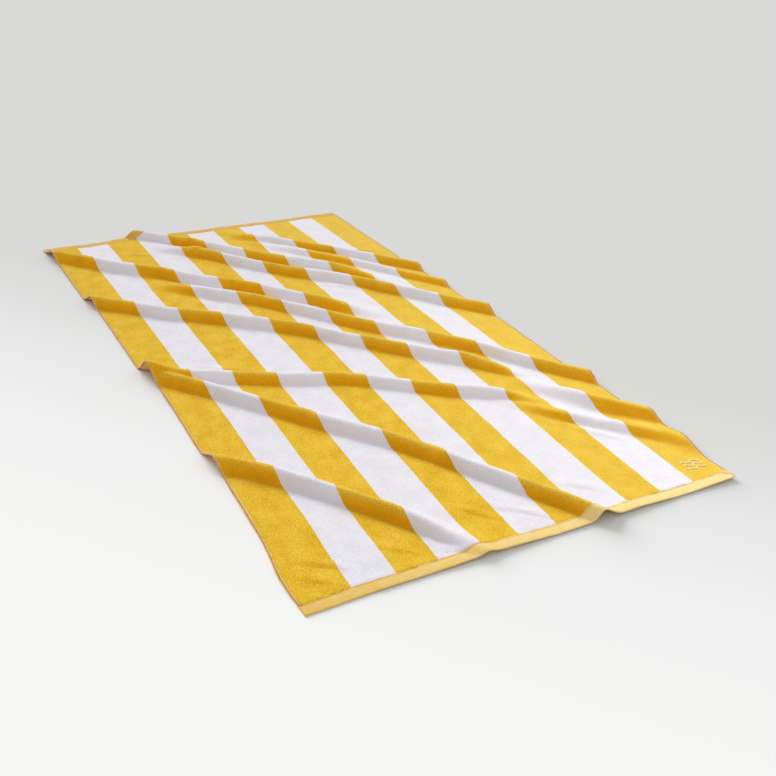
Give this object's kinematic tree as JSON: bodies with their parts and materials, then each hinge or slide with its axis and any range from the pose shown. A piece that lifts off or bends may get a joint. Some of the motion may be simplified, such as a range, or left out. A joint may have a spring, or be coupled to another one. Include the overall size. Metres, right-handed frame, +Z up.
{
  "type": "striped beach towel",
  "caption": "Rectangular terry beach towel with lengthwise colour bands and hemmed edges, lying on the ground in diagonal ripples.",
  "frame": {"origin": "on the ground, under the middle of the rippled towel", "axes": "+Y from the near hem to the far hem, along the stripes; +X across the towel to the right; +Z up"},
  "size_m": [0.9226, 1.7543, 0.0404],
  "materials": {
    "white_terry": "cotton terry, loop back, matte",
    "yellow_pile": "cut cotton pile, soft matte with a nap",
    "white_pile": "cut cotton pile, soft matte with a nap",
    "hem_weave": "flat plain weave, matte",
    "thread": "polyester sewing thread, slight sheen",
    "embroidery_thread": "satin-stitched thread, soft sheen"
  },
  "bodies": {
    "root": {"ground_cloth": "white_terry", "pile_stripe_1": "yellow_pile", "pile_stripe_2": "white_pile", "pile_stripe_3": "yellow_pile", "pile_stripe_4": "white_pile", "pile_stripe_5": "yellow_pile", "pile_stripe_6": "white_pile", "pile_stripe_7": "yellow_pile", "pile_stripe_8": "white_pile", "pile_stripe_9": "yellow_pile", "pile_stripe_10": "white_pile", "pile_stripe_11": "yellow_pile", "near_hem": "hem_weave", "far_hem": "hem_weave", "left_hem": "hem_weave", "right_hem": "hem_weave", "near_hem_stitching": "thread", "far_hem_stitching": "thread", "left_hem_stitching": "thread", "right_hem_stitching": "thread", "corner_embroidery": "embroidery_thread"}
  },
  "joints": []
}
